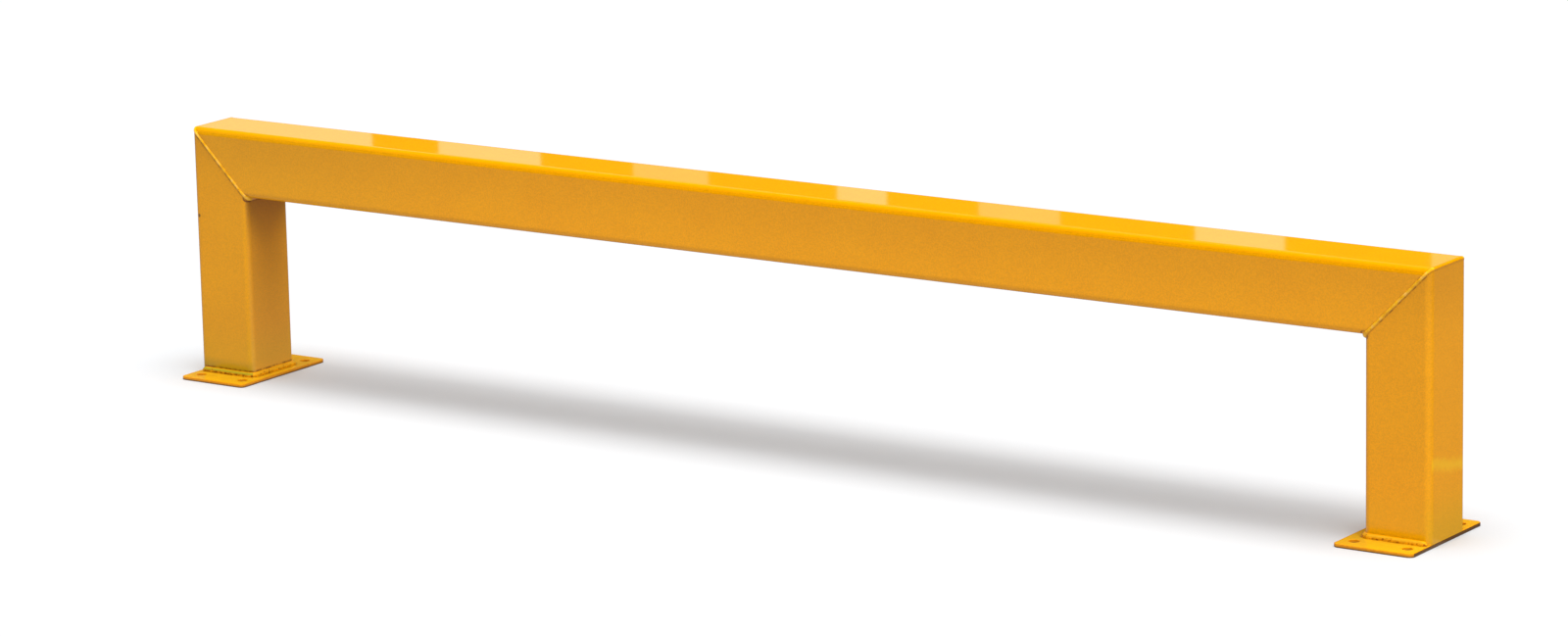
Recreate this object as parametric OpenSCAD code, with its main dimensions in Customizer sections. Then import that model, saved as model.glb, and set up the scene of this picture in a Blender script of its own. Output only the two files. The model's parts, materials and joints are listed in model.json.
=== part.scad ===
// Low level protection barrier: a welded goalpost frame of square steel box section.
// One rail and two posts are mitred together and stand on two drilled base plates.
// Millimetres, +X along the rail, +Y away from the front face, +Z up.
// The origin is on the floor, midway between the posts.

/* [Frame] */
// Length over the outer faces of the two posts
barrier_l = 2100; // [800:50:3000]
// Height from the floor to the top of the rail
barrier_h = 380; // [300:10:800]

/* [Box section] */
// Outside width of the square box section
section_w = 100; // [80:5:150]
// Wall of the box section
wall_t = 5; // [3:0.5:6]
// Outside radius along the four long edges of the box section
edge_r = 10; // [8:0.5:14]

/* [Base plates] */
// Thickness of a base plate
plate_t = 5; // [4:1:12]
// How far a plate reaches past the inner face of its post
plate_lip = 20; // [16:1:60]
// How far a plate reaches past the front and the back of its post
plate_overhang = 50; // [44:1:90]
// Radius of the plate's corners
plate_corner_r = 8; // [3:1:14]

/* [Bolt holes] */
// Diameter of a bolt hole
hole_d = 14; // [10:0.5:18]
// From a plate's short-way edges to the hole centres
hole_edge_x = 20; // [14:1:30]
// From a plate's front and back edges to the hole centres
hole_edge_y = 25; // [14:1:28]

/* [Mitre welds] */
// Width of the bead across the mitre seam
seam_bead_w = 4.5; // [3:0.5:6]
// Height of the seam bead over the faces
seam_bead_h = 1.2; // [0.8:0.1:1.8]
// Leg of the weld preparation, filled and dressed round, along the outer corner
corner_fill = 3; // [2:0.5:4]
// Leg of the fillet bead in the inner corner
inner_leg = 5; // [3:0.5:5.5]

/* [Foot welds] */
// Leg of the fillet beads round a post's foot
foot_leg = 6; // [4:0.5:8]

/* [Wear] */
// Radius of the small nick in the left post's outer front edge
nick_r = 1.6; // [0.5:0.1:3]
// Height of the nick over the floor
nick_z = 254; // [120:1:280]

/* [Hidden] */
$fn = 64;

// Yellow powder coat, and the same coat where it catches the light on a bead
paint = "#E09A26";
bead_paint = "#F2AE2E";

// Half of a flat side of the section, between its rounded edges
flat = section_w / 2 - edge_r;
// Where the left corner's outer edge lies
left_x = -barrier_l / 2;
// Size of the blocks that cut the mitres, larger than any corner
block = 4 * section_w;

// Directions at the left mitre: across the seam to the rail, and along it from outer to inner corner
to_rail = [1, 0, 1] / sqrt(2);
to_inner = [1, 0, -1] / sqrt(2);
to_back = [0, 1, 0];

// Circle that gives the seam bead its width and height, and how deep its centre lies
bead_r = (seam_bead_w * seam_bead_w / 4 + seam_bead_h * seam_bead_h) / (2 * seam_bead_h);
bead_depth = bead_r - seam_bead_h;
// How far the dressed outer corner still stands proud of a true round
corner_proud = 0.25;
// How far the rail's form laps over the mitre where both tubes are taken out of a bead,
// so that no film is left between them
mitre_lap = 0.01;
// Steps round a bead's half circle, round a foot bead's quarter circle and round an edge
half_steps = 10;
quarter_steps = 6;
edge_steps = 6;
// Steps of a foot bead's domed start
dome_steps = 5;

// Square outline with rounded edges
module rounded_square(w, r) {
    square([w, w - 2 * r], center = true);
    square([w - 2 * r, w], center = true);
    for (x = [-1, 1], y = [-1, 1])
        translate([x * (w / 2 - r), y * (w / 2 - r)]) circle(r = r);
}

// The right end of the frame is the left one mirrored
module at_right() {
    mirror([1, 0, 0]) children();
}

// Everything on the rail's side of the left mitre
module rail_side() {
    translate([left_x, 0, barrier_h]) rotate([0, 45, 0])
        translate([-block, -block, 0]) cube([2 * block, 2 * block, block]);
}

// Everything on the left post's side of the left mitre
module post_side() {
    translate([left_x, 0, barrier_h]) rotate([0, 45, 0])
        translate([-block, -block, -block]) cube([2 * block, 2 * block, block]);
}

// What is bevelled off both tubes along the outer corner, to make room for the weld
module corner_bevel() {
    translate([left_x, 0, barrier_h]) rotate([0, 45, 0])
        translate([-block, -block, -block])
            cube([block + corner_fill / sqrt(2), 2 * block, 2 * block]);
}

// Solid outer form of a box section along +Z, and the bore that makes it a tube
module section_form(l) {
    linear_extrude(l) rounded_square(section_w, edge_r);
}

module section_bore(l) {
    translate([0, 0, -1]) linear_extrude(l + 2)
        rounded_square(section_w - 2 * wall_t, edge_r - wall_t);
}

// Lays a section along the rail
module along_rail() {
    translate([left_x, 0, barrier_h - section_w / 2]) rotate([0, 90, 0]) children();
}

// Stands a section on the left plate
module on_left_plate() {
    translate([left_x + section_w / 2, 0, plate_t]) children();
}

// Outer form of the rail with both ends mitred, and lapped over the left mitre if asked
module rail_form(lap = 0) {
    difference() {
        along_rail() section_form(barrier_l);
        translate(-lap * to_rail) post_side();
        corner_bevel();
        at_right() {
            post_side();
            corner_bevel();
        }
    }
}

// Outer form of the left post with its top mitred
module post_form() {
    difference() {
        on_left_plate() section_form(barrier_h - plate_t);
        rail_side();
        corner_bevel();
    }
}

module rail() {
    difference() {
        rail_form();
        along_rail() section_bore(barrier_l);
    }
}

module post() {
    difference() {
        post_form();
        on_left_plate() section_bore(barrier_h - plate_t);
    }
}

// Small dent where the coated edge was knocked, on the outer front edge
module nick() {
    edge = edge_r * (1 - 1 / sqrt(2));
    translate([left_x + edge - nick_r / 2, -section_w / 2 + edge - nick_r / 2, nick_z])
        sphere(r = nick_r);
}

// Flat plate with rounded corners, its outer edge flush with the post
module plate_outline() {
    x0 = left_x + plate_corner_r;
    x1 = left_x + section_w + plate_lip - plate_corner_r;
    y1 = section_w / 2 + plate_overhang - plate_corner_r;
    translate([x0 - plate_corner_r, -y1]) square([x1 - x0 + 2 * plate_corner_r, 2 * y1]);
    translate([x0, -y1 - plate_corner_r]) square([x1 - x0, 2 * (y1 + plate_corner_r)]);
    for (x = [x0, x1], y = [-y1, y1])
        translate([x, y]) circle(r = plate_corner_r);
}

module base_plate() {
    hole_x0 = left_x + hole_edge_x;
    hole_x1 = left_x + section_w + plate_lip - hole_edge_x;
    hole_y = section_w / 2 + plate_overhang - hole_edge_y;
    difference() {
        linear_extrude(plate_t) plate_outline();
        for (x = [hole_x0, hole_x1], y = [-hole_y, hole_y])
            translate([x, y, -1]) cylinder(d = hole_d, h = plate_t + 2);
    }
}

// Closed skin over a row of sections that have the same number of points
module skin(sections) {
    n = len(sections[0]);
    last = len(sections) - 1;
    sides = [for (i = [0 : last - 1], j = [0 : n - 1])
        let (a = i * n + j, b = i * n + (j + 1) % n)
        each [[a, b, b + n], [a, b + n, a + n]]];
    start = [for (j = [0 : n - 1]) n - 1 - j];
    stop = [for (j = [0 : n - 1]) last * n + j];
    polyhedron([for (section = sections) each section], concat(sides, [start, stop]), convexity = 6);
}

function unit(v) = v / norm(v);

// The seam is the section's outline laid over the mitre. A turn of 0 faces the outer
// corner, 90 the front and 180 the inner corner; edge_x and edge_y are the rounded edge's middle.
function seam_point(edge_x, edge_y, turn) =
    let (x = edge_x - edge_r * cos(turn))
    [left_x + x, edge_y - edge_r * sin(turn), barrier_h - x];

// Straight out of the seam
function seam_out(turn) = unit(-cos(turn) / sqrt(2) * to_inner - sin(turn) * to_back);

// The bead swells into the outer corner's filling and into the inner corner's fillet
function outer_share(turn) = turn < 90 ? cos(turn) * cos(turn) : 0;
function inner_share(turn) = turn > 90 ? cos(turn) * cos(turn) : 0;
function seam_r(turn) = bead_r + (corner_fill - bead_r) * outer_share(turn)
    + (inner_leg - bead_r) * inner_share(turn);
function seam_depth(turn) = bead_depth
    + (corner_fill * sqrt(2) - corner_proud - bead_depth) * outer_share(turn)
    - bead_depth * inner_share(turn);

// Half circle across the seam at a point of it, from the post's side over to the rail's
function seam_section(edge_x, edge_y, turn) =
    let (out = seam_out(turn), centre = seam_point(edge_x, edge_y, turn) - seam_depth(turn) * out)
    [for (i = [0 : half_steps])
        centre + seam_r(turn) * (sin(180 * i / half_steps) * out - cos(180 * i / half_steps) * to_rail)];

// Takes both tubes out of a bead of the left mitre
module off_tubes() {
    difference() {
        children();
        rail_form(mitre_lap);
        post_form();
    }
}

// Bead along the front face of a mitre, round the outer and the inner edge
module mitre_weld_front() {
    off_tubes() skin(concat(
        [for (i = [0 : edge_steps]) seam_section(edge_r, -flat, 90 * i / edge_steps)],
        [for (i = [0 : edge_steps]) seam_section(section_w - edge_r, -flat, 90 + 90 * i / edge_steps)]
    ));
}

module mitre_weld_back() {
    mirror([0, 1, 0]) mitre_weld_front();
}

// Weld that fills the bevel of the outer corner, dressed to a round
module mitre_weld_outer() {
    off_tubes() skin([seam_section(edge_r, flat, 0), seam_section(edge_r, -flat, 0)]);
}

// Fillet bead across the inner corner
module mitre_weld_inner() {
    off_tubes() skin([for (y = [-flat, flat]) seam_section(section_w - edge_r, y, 180)]);
}

// Quarter circle against the post and the plate. The foot turns as the seam does; reach
// is the distance from the middle of the post's rounded edge.
function foot_section(edge_x, edge_y, turn, reach, leg) =
    let (out = [-cos(turn), -sin(turn), 0], foot = [left_x + edge_x, edge_y, plate_t] + reach * out)
    concat([foot], [for (i = [0 : quarter_steps])
        foot + leg * (cos(90 * i / quarter_steps) * out + [0, 0, sin(90 * i / quarter_steps)])]);

// Sections round an edge whose flat faces all touch the edge from outside
function foot_round(edge_x, edge_y, from, to) =
    let (step = (to - from) / edge_steps, reach = edge_r / cos(step / 2))
    concat(
        [foot_section(edge_x, edge_y, from, edge_r, foot_leg)],
        [for (i = [0 : edge_steps - 1])
            foot_section(edge_x, edge_y, from + (i + 0.5) * step, reach, foot_leg)],
        [foot_section(edge_x, edge_y, to, edge_r, foot_leg)]
    );

// Domed start of the front bead, a leg long, on the outer edge's round
function foot_start() =
    let (turn = foot_leg / edge_r * 180 / PI, step = turn / dome_steps)
    [for (i = [dome_steps - 1 : -1 : 0])
        let (share = (i + 0.5) / dome_steps)
        foot_section(edge_r, -flat, 90 - share * turn, edge_r / cos(step / 2),
            foot_leg * sqrt(1 - share * share))];

// Bead along the front of the foot, from the outer edge to halfway round the inner one
module foot_weld_front() {
    skin(concat(foot_start(), [foot_section(edge_r, -flat, 90, edge_r, foot_leg)],
        foot_round(section_w - edge_r, -flat, 90, 135)));
}

module foot_weld_back() {
    mirror([0, 1, 0]) foot_weld_front();
}

// Bead along the inner side of the foot, between the front and the back bead
module foot_weld_inner() {
    skin(concat(foot_round(section_w - edge_r, -flat, 135, 180),
        foot_round(section_w - edge_r, flat, 180, 225)));
}

module top_rail() {
    color(paint) rail();
}

module left_post() {
    color(paint) difference() {
        post();
        nick();
    }
}

module right_post() {
    color(paint) at_right() post();
}

module left_base_plate() {
    color(paint) base_plate();
}

module right_base_plate() {
    color(paint) at_right() base_plate();
}

module left_mitre_weld_front() {
    color(bead_paint) mitre_weld_front();
}

module left_mitre_weld_back() {
    color(bead_paint) mitre_weld_back();
}

module left_mitre_weld_outer() {
    color(bead_paint) mitre_weld_outer();
}

module left_mitre_weld_inner() {
    color(bead_paint) mitre_weld_inner();
}

module right_mitre_weld_front() {
    color(bead_paint) at_right() mitre_weld_front();
}

module right_mitre_weld_back() {
    color(bead_paint) at_right() mitre_weld_back();
}

module right_mitre_weld_outer() {
    color(bead_paint) at_right() mitre_weld_outer();
}

module right_mitre_weld_inner() {
    color(bead_paint) at_right() mitre_weld_inner();
}

module left_foot_weld_front() {
    color(bead_paint) foot_weld_front();
}

module left_foot_weld_inner() {
    color(bead_paint) foot_weld_inner();
}

module left_foot_weld_back() {
    color(bead_paint) foot_weld_back();
}

module right_foot_weld_front() {
    color(bead_paint) at_right() foot_weld_front();
}

module right_foot_weld_inner() {
    color(bead_paint) at_right() foot_weld_inner();
}

module right_foot_weld_back() {
    color(bead_paint) at_right() foot_weld_back();
}

top_rail();
left_post();
right_post();
left_base_plate();
right_base_plate();
left_mitre_weld_front();
left_mitre_weld_back();
left_mitre_weld_outer();
left_mitre_weld_inner();
right_mitre_weld_front();
right_mitre_weld_back();
right_mitre_weld_outer();
right_mitre_weld_inner();
left_foot_weld_front();
left_foot_weld_inner();
left_foot_weld_back();
right_foot_weld_front();
right_foot_weld_inner();
right_foot_weld_back();
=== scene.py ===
# %% [markdown]
# Low level protection barrier
# A bolt-down guard that keeps wheels off walls and racking. A fabricator saws three lengths of
# square steel tube, mitres them at 45 degrees, welds them into a goalpost, welds a drilled plate
# under each post and has the whole frame powder coated. This lesson dresses that frame piece by
# piece, each after its finish, and then builds the studio round it.

# %% Load the fixed frame
import json
import math

import bmesh
import bpy
import numpy as np
from mathutils import Matrix, Vector

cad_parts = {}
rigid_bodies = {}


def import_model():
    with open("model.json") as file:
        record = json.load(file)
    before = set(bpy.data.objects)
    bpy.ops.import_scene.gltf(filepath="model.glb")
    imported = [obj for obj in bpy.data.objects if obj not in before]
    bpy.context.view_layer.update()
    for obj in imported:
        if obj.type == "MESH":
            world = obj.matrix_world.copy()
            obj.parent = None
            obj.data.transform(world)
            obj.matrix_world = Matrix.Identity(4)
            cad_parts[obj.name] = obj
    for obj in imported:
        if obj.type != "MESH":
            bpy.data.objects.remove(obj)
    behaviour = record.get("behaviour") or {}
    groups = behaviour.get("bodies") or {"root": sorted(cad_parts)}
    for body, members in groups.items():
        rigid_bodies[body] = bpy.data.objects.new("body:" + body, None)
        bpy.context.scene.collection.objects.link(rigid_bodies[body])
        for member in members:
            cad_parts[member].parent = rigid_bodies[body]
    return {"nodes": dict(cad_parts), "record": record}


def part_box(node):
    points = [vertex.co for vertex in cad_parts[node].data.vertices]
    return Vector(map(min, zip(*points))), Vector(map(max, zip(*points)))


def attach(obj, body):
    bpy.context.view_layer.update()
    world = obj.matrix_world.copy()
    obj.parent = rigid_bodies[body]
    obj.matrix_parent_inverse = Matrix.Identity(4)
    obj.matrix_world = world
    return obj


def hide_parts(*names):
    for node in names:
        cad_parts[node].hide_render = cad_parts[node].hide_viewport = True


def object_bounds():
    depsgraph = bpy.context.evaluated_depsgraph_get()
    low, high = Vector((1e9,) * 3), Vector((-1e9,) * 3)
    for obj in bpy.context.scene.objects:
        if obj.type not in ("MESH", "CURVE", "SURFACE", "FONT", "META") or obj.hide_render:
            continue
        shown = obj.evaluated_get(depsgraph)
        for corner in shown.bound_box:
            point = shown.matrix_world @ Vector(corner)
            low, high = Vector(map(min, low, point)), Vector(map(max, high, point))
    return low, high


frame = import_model()
cad_box = [list(corner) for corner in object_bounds()]
print("nodes:", sorted(frame["nodes"]))

# %% [markdown]
# Every size that the frame can tell is read from it, so the looks follow the construction. The
# plates show where the posts' outer faces are, and the rail shows the section and the height.
# What a box can't show, such as the radius along the tube's edges, is named here once, in metres.

# %% Sizes
MM = 0.001

plate_lo, plate_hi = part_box("left_base_plate")
rail_lo, rail_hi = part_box("top_rail")

half_l = -plate_lo.x
height = rail_hi.z
section_w = rail_hi.z - rail_lo.z
plate_t = plate_hi.z

wall_t = 5 * MM
edge_r = 10 * MM
plate_corner_r = 8 * MM
seam_bead_w = 4.5 * MM
seam_bead_h = 1.2 * MM
corner_fill = 3 * MM
corner_proud = 0.25 * MM
inner_leg = 5 * MM
foot_leg = 6 * MM
flat = section_w / 2 - edge_r
nick_r = 1.6 * MM
nick_z = 254 * MM

print("length %.3f, height %.3f, section %.3f" % (2 * half_l, height, section_w))

# %% [markdown]
# Small helpers come first: to put data in the scene, to make a mesh from points and faces, to
# mirror a finished piece, to join rows of points into a closed skin, and to add a node to a
# shader or geometry tree. The skin is how most of this object is made, because tubes and beads
# are all one outline carried along a path. What a modifier gives is kept as plain mesh at once.

# %% Mesh helpers
def put_in_scene(name, data):
    """An object for a mesh, a lamp or a camera, at the origin."""
    made = bpy.data.objects.new(name, data)
    bpy.context.scene.collection.objects.link(made)
    return made


def new_object(name, points, faces, material, sharp_deg=30):
    """A mesh object, smooth but for edges sharper than sharp_deg."""
    mesh = bpy.data.meshes.new(name)
    mesh.from_pydata([tuple(map(float, p)) for p in points], [], faces)
    mesh.validate()
    mesh.materials.append(material)
    mesh.shade_smooth()
    mesh.set_sharp_from_angle(angle=math.radians(sharp_deg))
    return put_in_scene(name, mesh)


def mirrored(source, name, axis=0):
    """The twin of a piece on the other side, with its faces turned outwards again."""
    mesh = source.data.copy()
    mesh.name = name
    for v in mesh.vertices:
        v.co[axis] = -v.co[axis]
    mesh.flip_normals()
    return put_in_scene(name, mesh)


def skin_faces(rows, around, ring=False):
    """Faces over rows of points. A ring joins the last row to the first, others get end caps."""
    faces = []
    for i in range(rows if ring else rows - 1):
        here, there = i * around, (i + 1) % rows * around
        for j in range(around):
            k = (j + 1) % around
            faces.append((here + j, here + k, there + k, there + j))
    if not ring:
        faces.append(tuple(range(around - 1, -1, -1)))
        faces.append(tuple((rows - 1) * around + j for j in range(around)))
    return faces


def outward(made):
    """Turns a closed piece's faces outwards."""
    mesh = bmesh.new()
    mesh.from_mesh(made.data)
    bmesh.ops.recalc_face_normals(mesh, faces=mesh.faces)
    mesh.to_mesh(made.data)
    mesh.free()
    return made


def keep_result(made):
    """Replaces a piece's mesh by what its modifiers give, and removes the modifiers."""
    evaluated = made.evaluated_get(bpy.context.evaluated_depsgraph_get())
    result = bpy.data.meshes.new_from_object(evaluated)
    made.modifiers.clear()
    old = made.data
    made.data = result
    bpy.data.meshes.remove(old)
    return made


def triangles(made):
    made.data.calc_loop_triangles()
    return len(made.data.loop_triangles)


# %% Node helpers
# A mix node has sockets for each type of value, and these are the ones for colours.
MIX_SHARE, MIX_A, MIX_B, MIX_RESULT = 0, 6, 7, 2


def add_node(tree, kind, links=None, **settings):
    """Adds a node to a tree, sets its properties, and links or sets its inputs."""
    made = tree.nodes.new(kind)
    for name, value in settings.items():
        setattr(made, name, value)
    for socket, source in (links or {}).items():
        if isinstance(source, bpy.types.NodeSocket):
            tree.links.new(source, made.inputs[socket])
        else:
            made.inputs[socket].default_value = source
    return made


def linear(hex_colour):
    """An sRGB hex colour as the linear values that Blender works with."""
    parts = [int(hex_colour[i:i + 2], 16) / 255 for i in (1, 3, 5)]
    return [c / 12.92 if c <= 0.04045 else ((c + 0.055) / 1.055) ** 2.4 for c in parts] + [1]


# %% [markdown]
# Finish: powder coat. The real finish is polyester powder, sprayed on dry and baked until it
# flows into a glossy film about 80 microns thick. To the eye it gives a deep, even signal
# yellow with clear reflections at low angles, broken only by a faint orange peel a few
# millimetres across. A dielectric shader with an IOR of 1.5 and a low roughness does that. The
# peel is drawn as a shallow bump. Two sizes of noise shift the colour by a few per cent: broad
# clouds where the film lies thicker, and a grain as wide as the peel, from the shade in its dips.
#
# All that marks the coat is made in a few ways: random patches as wide as a real size, fades
# between two places, stains mixed in by a share, and shade.

# %% Coat helpers
def place_on_piece(tree):
    """The point that is being painted, in the piece's own coordinates."""
    return add_node(tree, "ShaderNodeTexCoord").outputs["Object"]


def patches(tree, size, detail=2.0):
    """Random patches about as wide as a size, with values round 0.5, fixed to the piece."""
    return add_node(
        tree, "ShaderNodeTexNoise",
        {"Vector": place_on_piece(tree), "Scale": 1 / size, "Detail": detail}).outputs["Fac"]


def fade(tree, value, first, last, at_first=0.0, at_last=1.0, curve="SMOOTHSTEP"):
    """Goes from one level to another while a value goes from first to last."""
    return add_node(
        tree, "ShaderNodeMapRange",
        {"Value": value, "From Min": first, "From Max": last, "To Min": at_first, "To Max": at_last},
        interpolation_type=curve).outputs["Result"]


def product(tree, *values):
    """All the values multiplied, so that shares count only where every one of them holds."""
    total = values[0]
    for value in values[1:]:
        total = add_node(tree, "ShaderNodeMath", {0: total, 1: value}, operation="MULTIPLY").outputs[0]
    return total


def either(tree, first, second):
    """The higher of two shares."""
    return add_node(tree, "ShaderNodeMath", {0: first, 1: second}, operation="MAXIMUM").outputs[0]


def stained(tree, colour, share, stain):
    """A colour with a stain mixed in by a share."""
    return add_node(
        tree, "ShaderNodeMix", {MIX_SHARE: share, MIX_A: colour, MIX_B: linear(stain)},
        data_type="RGBA").outputs[MIX_RESULT]


def scaled(tree, vector, factor):
    """A colour made darker or lighter by a factor, or an arrow made longer or shorter."""
    return add_node(
        tree, "ShaderNodeVectorMath", {0: vector, "Scale": factor}, operation="SCALE").outputs[0]


# %% Powder coat
SIGNAL_YELLOW = "#F9A800"
THICK_FILM = "#F3A000"
PEEL_SIZE = 2.2 * MM
PEEL_DEPTH = 0.1 * MM
CLOUD_SIZE = 60 * MM
GRAIN_LOW, GRAIN_HIGH = 0.91, 1.07
COAT_IOR = 1.5
GLOSSY = 0.045


def new_material(name):
    """A material, and its node tree."""
    material = bpy.data.materials.new(name)
    material.use_nodes = True
    return material, material.node_tree


def coated(material, colour, peel=0.06, roughness=GLOSSY):
    """Finishes a material as powder coat over the colour socket given."""
    tree = material.node_tree
    bump = add_node(
        tree, "ShaderNodeBump",
        {"Height": patches(tree, PEEL_SIZE, 1.0), "Strength": peel, "Distance": PEEL_DEPTH})
    shader = tree.nodes["Principled BSDF"]
    shader.inputs["Roughness"].default_value = roughness
    shader.inputs["IOR"].default_value = COAT_IOR
    tree.links.new(colour, shader.inputs["Base Color"])
    tree.links.new(bump.outputs["Normal"], shader.inputs["Normal"])
    return material


def clouded_yellow(tree):
    """The coat's own colour, a little deeper where the film is thick, with the peel's grain."""
    clouded = stained(tree, linear(SIGNAL_YELLOW), patches(tree, CLOUD_SIZE, 4.0), THICK_FILM)
    grain = fade(tree, patches(tree, PEEL_SIZE, 1.0), 0.3, 0.7, GRAIN_LOW, GRAIN_HIGH, curve="LINEAR")
    return scaled(tree, clouded, grain)


print("coat colour, linear:", [round(c, 3) for c in linear(SIGNAL_YELLOW)])

# %% [markdown]
# Places on a tube. A mark needs no picture if its place can be worked out from the piece's own
# coordinates. Folding them at the middle makes one end stand for both. Two depths then tell
# where a point is: from the outer side of its end, and from the top of the rail. They are equal
# on the mitre, and at the inner corner both equal the section.

# %% Depths and distances
def coordinates(tree):
    """The point's own x, y and z on the piece, as sockets."""
    return add_node(tree, "ShaderNodeSeparateXYZ", {0: place_on_piece(tree)}).outputs


def folded(tree):
    """The point as a vector, folded over so that x, y and z are never negative."""
    place = place_on_piece(tree)
    return add_node(tree, "ShaderNodeVectorMath", {0: place}, operation="ABSOLUTE").outputs[0]


def depth_vector(tree):
    """How deep a point lies from the outer side of its end, in x, and from the top, in z."""
    return add_node(
        tree, "ShaderNodeVectorMath", {0: (half_l, 0, height), 1: folded(tree)},
        operation="SUBTRACT").outputs[0]


def depths(tree):
    """The depth from the end and the depth from the top, as sockets."""
    deep = add_node(tree, "ShaderNodeSeparateXYZ", {0: depth_vector(tree)}).outputs
    return deep["X"], deep["Z"]


def distance_to(tree, place, target):
    return add_node(
        tree, "ShaderNodeVectorMath", {0: place, 1: target}, operation="DISTANCE").outputs["Value"]


def seam_distance(tree):
    """How far a point lies from the nearer mitre plane."""
    across_seam = (math.sqrt(0.5), 0, -math.sqrt(0.5))
    gap = add_node(
        tree, "ShaderNodeVectorMath", {0: depth_vector(tree), 1: across_seam},
        operation="DOT_PRODUCT").outputs["Value"]
    return add_node(tree, "ShaderNodeMath", {0: gap}, operation="ABSOLUTE").outputs[0]


def corner_distance(tree):
    """How far a point lies from the nearer inner corner, where post and rail meet."""
    level = add_node(
        tree, "ShaderNodeVectorMath", {0: depth_vector(tree), 1: (1, 0, 1)},
        operation="MULTIPLY").outputs[0]
    return distance_to(tree, level, (section_w, 0, section_w))


def on_front(tree, share):
    """A share that holds on the front faces and fades out round their edges."""
    front = -section_w / 2
    return product(tree, share, fade(tree, coordinates(tree)["Y"], front, front + edge_r, 1.0, 0.0))


def on_left(tree, at_right=0.0):
    """1 on the left post, and a lower share on the right one."""
    return fade(tree, coordinates(tree)["X"], -section_w, section_w, 1.0, at_right)


def on_inner_side(tree, share):
    """A share that holds on a post's inner side and fades out round its edges."""
    side = fade(tree, depths(tree)[0], section_w - edge_r / 2, section_w - 1 * MM)
    return product(tree, share, side)


def off_outer_side(tree):
    """0 on a post's outer side and 1 past its rounded edge."""
    return fade(tree, depths(tree)[0], edge_r / 2, edge_r)


# %% [markdown]
# Toe lines. Along each weld a fine brown line of painted shade runs beside the bead, for the
# shade in the crease there, broken up along its length. On the tubes it opens into a ring of
# painted shade round the inner corner, where post and rail shade each other, and it runs again
# above the foot weld, more so on the left post.

# %% Toe lines
# Brown for painted shade at the welds' toes, and for the dark pits in a weld's coat.
SHADE_AND_PIT_BROWN = "#6E3404"
TOE_AT = seam_bead_w / 2 + 0.5 * MM
TOE_WIDTH = 1.1 * MM
TOE_BREAKS = 7 * MM
TOE_ON_RAIL, TOE_ON_POST = 0.3, 0.8
POST_TOE_SPREAD = 1.4
RING_AT = inner_leg + 0.8 * MM
RING_WIDTH = 2.2 * MM
RING_SHARE = 0.9
FOOT_LINE_AT = plate_t + foot_leg + 1.2 * MM
FOOT_LINE_WIDTH = 3 * MM
FOOT_LINE_SHARE, FOOT_LINE_RIGHT = 0.8, 0.2


def line_mask(tree, distance, at, width):
    """1 where a distance is right at a line, falling to 0 within its width."""
    off = add_node(tree, "ShaderNodeMath", {0: distance, 1: at}, operation="SUBTRACT").outputs[0]
    size = add_node(tree, "ShaderNodeMath", {0: off}, operation="ABSOLUTE").outputs[0]
    return fade(tree, size, 0.0, width, 1.0, 0.0)


def broken(tree, mask, strength):
    """Breaks a toe line up along its length, down to a quarter of its strength."""
    breaks = patches(tree, TOE_BREAKS)
    share = fade(tree, breaks, 0.4, 0.58, 0.25 * strength, strength, curve="LINEAR")
    return product(tree, mask, share)


def with_seam_toes(tree, colour, strength, width):
    """A tube's colour with painted shade in the line beside its mitre and in the ring round the inner
    corner.
    """
    seam = line_mask(tree, seam_distance(tree), TOE_AT, width)
    seam = product(tree, seam, fade(tree, depths(tree)[0], 0.0, edge_r, 0.3, 1.0))
    ring = line_mask(tree, corner_distance(tree), RING_AT, RING_WIDTH)
    colour = stained(tree, colour, broken(tree, seam, strength), SHADE_AND_PIT_BROWN)
    return stained(tree, colour, broken(tree, ring, RING_SHARE), SHADE_AND_PIT_BROWN)


# %% [markdown]
# Dust, wear and painted light. Olive dust lies on the left post's front, thick above its weld
# and thin higher up, and on the rail's left end. Painted shade darkens a post's inner side close
# under the rail, where the rail shades it, and a pale painted sheen lies on that side lower down,
# for the pale floor it faces. Painted shade low on both posts takes off the orange that the
# plates bounce onto them. The left post has lost a chip of film below its knock, and a bright
# painted reflection slants across the right post's outer side. The rail's flat top has a painted
# tint of the light on it, a little yellower, and painted shade darkens the rounded edges beside
# it. The rail is painted darker towards its top and lighter towards its bottom, and each post is
# painted darker towards its top.

# %% Dust, with painted shade and a painted sheen low on the posts
DUST_OLIVE = "#8A8420"
# A darker, yellower colour painted low on both posts as painted shade, which takes off the orange that the
# plates bounce onto them.
LOW_SHADE_YELLOW = "#CFA900"
# A pale painted sheen on a post's inner side, for the pale floor it faces, stronger low down.
PAINTED_FLOOR_SHEEN = "#F5DDAA"
HAZE_RISE, HAZE_THICK = 30 * MM, 0.62
THIN_FROM, THIN_TO = 40 * MM, 160 * MM
THIN_LOW, THIN_HIGH = 0.24, 0.11
RAIL_DUST_FROM, RAIL_DUST_TO, RAIL_DUST = -0.98, -0.35, 0.16
LOW_SHADE_RISE, LOW_SHADE = 90 * MM, 0.45
SHEEN_RISE, SHEEN_LOW, SHEEN_HIGH = 250 * MM, 0.07, 0.02


def foot_haze(tree):
    """Dust on the left post's front, thick just above the foot weld and thin higher up."""
    up = coordinates(tree)["Z"]
    weld_top = plate_t + foot_leg
    thick = fade(tree, up, weld_top, weld_top + HAZE_RISE, HAZE_THICK, 0.0)
    thin = fade(tree, up, THIN_FROM, THIN_TO, THIN_LOW, THIN_HIGH)
    return on_front(tree, product(tree, either(tree, thick, thin), on_left(tree)))


def rail_haze(tree):
    """Thin dust on the front of the rail's left end."""
    along = coordinates(tree)["X"]
    return on_front(tree, fade(tree, along, RAIL_DUST_FROM, RAIL_DUST_TO, RAIL_DUST, 0.0))


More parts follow.
